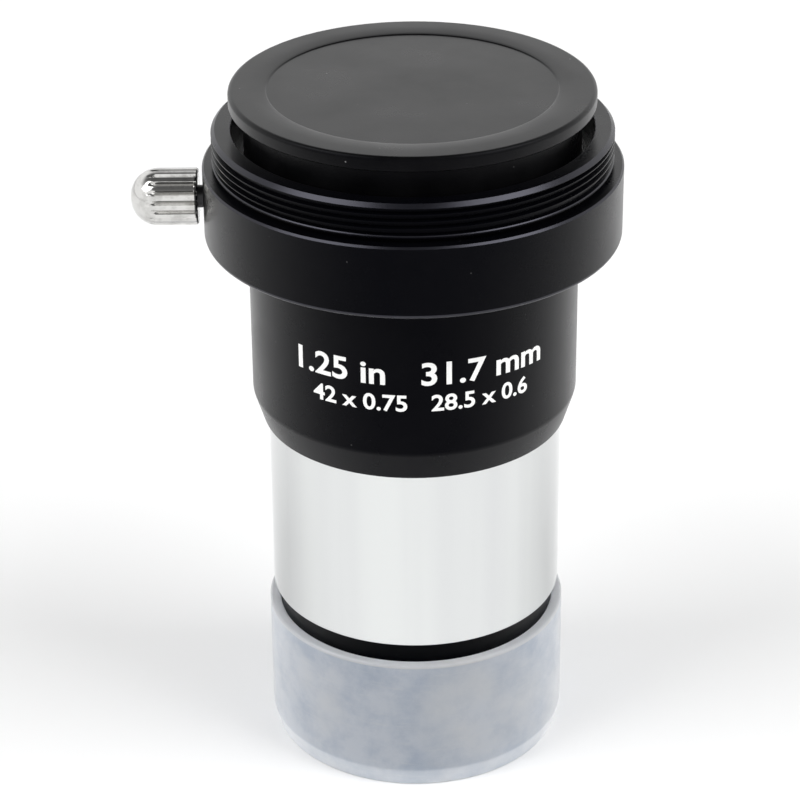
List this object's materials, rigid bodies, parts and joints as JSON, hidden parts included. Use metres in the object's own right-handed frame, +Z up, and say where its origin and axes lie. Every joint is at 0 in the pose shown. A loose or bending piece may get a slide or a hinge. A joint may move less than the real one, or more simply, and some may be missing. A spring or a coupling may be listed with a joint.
{
  "type": "barlow lens",
  "caption": "Telescope Barlow lens with a chrome 1.25 inch nosepiece, eyepiece socket with thumbscrew, M42 camera thread, cemented negative lens cell and two dust caps.",
  "frame": {"origin": "centre of the flat face of the nose dust cap that the lens stands on", "axes": "+Z up along the optical axis towards the eyepiece end, -Y the marked front of the main body, -X towards the thumbscrew knob"},
  "size_m": [0.0518, 0.044, 0.0764],
  "materials": {
    "cap_black": "matte moulded plastic",
    "anodised_black": "black anodised, satin",
    "chrome": "polished chrome",
    "cell_black": "black anodised, matt",
    "knob_nickel": "bright nickel",
    "stud_steel": "turned steel",
    "cap_clear": "translucent polyethylene",
    "lens_glass": "coated optical glass"
  },
  "bodies": {
    "barrel": {"main_body": "anodised_black", "nosepiece": "chrome", "eyepiece_holder": "anodised_black"},
    "top_cap": {"top_dust_cap": "cap_black"},
    "screw_stud": {"thumbscrew_stud": "stud_steel"},
    "screw_knob": {"thumbscrew_knob": "knob_nickel"},
    "lens_group": {"crown_element": "lens_glass", "flint_element": "lens_glass", "lens_retaining_ring": "cell_black"},
    "cell": {"lens_cell": "cell_black"},
    "nose_cap": {"nose_dust_cap": "cap_clear"}
  },
  "joints": [
    {"name": "top_cap_pull", "type": "slide", "parent": "barrel", "child": "top_cap", "axis": [0, 0, 1], "range_m": [0, 0.04]},
    {"name": "screw_travel", "type": "slide", "parent": "barrel", "child": "screw_stud", "axis": [1, 0, 0], "range_m": [-0.0041, 0.0005]},
    {"name": "screw_turn", "type": "hinge", "parent": "screw_stud", "child": "screw_knob", "pos_m": [-0.026, 0, 0.06415], "axis": [1, 0, 0], "range_deg": [-2880, 324]},
    {"name": "cell_travel", "type": "slide", "parent": "barrel", "child": "lens_group", "axis": [0, 0, -1], "range_m": [0, 0.0034]},
    {"name": "cell_turn", "type": "hinge", "parent": "lens_group", "child": "cell", "pos_m": [0, 0, 0.018], "axis": [0, 0, -1], "range_deg": [0, 1980]},
    {"name": "nose_cap_pull", "type": "slide", "parent": "cell", "child": "nose_cap", "axis": [0, 0, -1], "range_m": [0, 0.04]}
  ],
  "couplings": [
    {"joint": "screw_travel", "follows": "screw_turn", "m_per_rad": 0.000079577},
    {"joint": "cell_travel", "follows": "cell_turn", "m_per_rad": 0.000095493}
  ]
}
